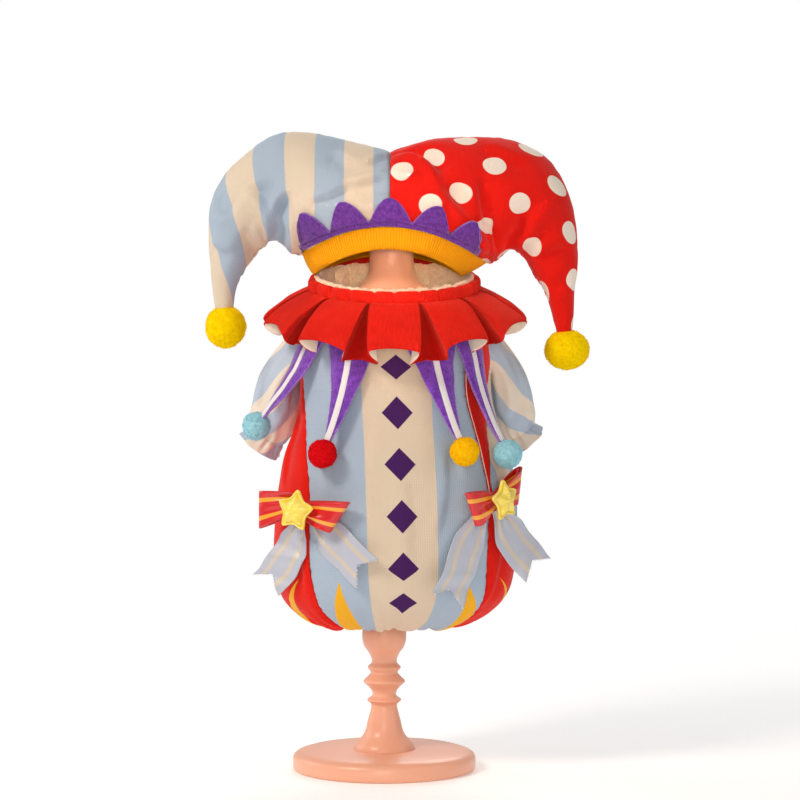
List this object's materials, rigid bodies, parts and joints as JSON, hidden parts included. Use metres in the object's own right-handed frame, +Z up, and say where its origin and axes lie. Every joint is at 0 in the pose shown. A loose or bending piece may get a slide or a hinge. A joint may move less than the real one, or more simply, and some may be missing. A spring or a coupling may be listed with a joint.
{
  "type": "pet clown costume on a dress form stand",
  "caption": "Jester hat and romper for a small pet, with a pleated collar, felt points, pompoms and bows, on a limbless form with a turned stand",
  "frame": {"origin": "middle of the underside of the stand's foot", "axes": "+Z up, the costume's front faces -Y, +X to the right as seen from the front"},
  "size_m": [0.2606, 0.156, 0.4328],
  "materials": {
    "pink_lacquer": "smooth glossy salmon-pink lacquer",
    "printed_cotton": "slub cotton printed light blue with a cream strip, purple diamonds and yellow triangles",
    "red_cotton": "plain red cotton with a soft nap",
    "striped_cotton": "cotton printed with light blue and cream stripes",
    "dotted_cotton": "red cotton printed with cream dots",
    "red_rib": "red ribbed cloth, pleated",
    "yellow_rib": "yellow ribbed knit",
    "purple_felt": "fuzzy purple felt with stitched edges",
    "white_ribbon": "narrow white woven ribbon",
    "fleece": "cream pile fleece",
    "yellow_pile": "yellow wool pompom",
    "blue_pile": "light blue wool pompom",
    "red_pile": "red wool pompom",
    "gold_pile": "golden yellow wool pompom",
    "red_satin": "red satin ribbon with two yellow stripes",
    "grey_satin": "pale lavender-grey satin ribbon with two cream stripes",
    "glitter_fabric": "padded yellow glitter cloth"
  },
  "bodies": {
    "root": {"stand_foot": "pink_lacquer", "stand_post": "pink_lacquer", "form_body": "pink_lacquer", "front_panel": "printed_cotton", "side_panel_left": "red_cotton", "side_panel_right": "red_cotton", "back_panel": "striped_cotton", "sleeve_left": "striped_cotton", "sleeve_right": "striped_cotton", "collar_band": "red_rib", "collar_ruffle": "red_rib", "neck_lining": "fleece", "felt_point_1": "purple_felt", "felt_point_2": "purple_felt", "felt_point_3": "purple_felt", "felt_point_4": "purple_felt", "felt_ribbon_1": "white_ribbon", "felt_ribbon_2": "white_ribbon", "felt_ribbon_3": "white_ribbon", "felt_ribbon_4": "white_ribbon", "felt_ball_1": "blue_pile", "felt_ball_2": "red_pile", "felt_ball_3": "gold_pile", "felt_ball_4": "blue_pile", "hat_front_striped": "striped_cotton", "hat_back_striped": "striped_cotton", "hat_front_dotted": "dotted_cotton", "hat_back_dotted": "dotted_cotton", "hat_band": "yellow_rib", "hat_felt_crown": "purple_felt", "hat_ball_striped": "yellow_pile", "hat_ball_dotted": "yellow_pile", "bow_left_loop_a": "red_satin", "bow_left_loop_b": "red_satin", "bow_left_tail_a": "grey_satin", "bow_left_tail_b": "grey_satin", "bow_left_star": "glitter_fabric", "bow_right_loop_a": "red_satin", "bow_right_loop_b": "red_satin", "bow_right_tail_a": "grey_satin", "bow_right_tail_b": "grey_satin", "bow_right_star": "glitter_fabric"}
  },
  "joints": []
}
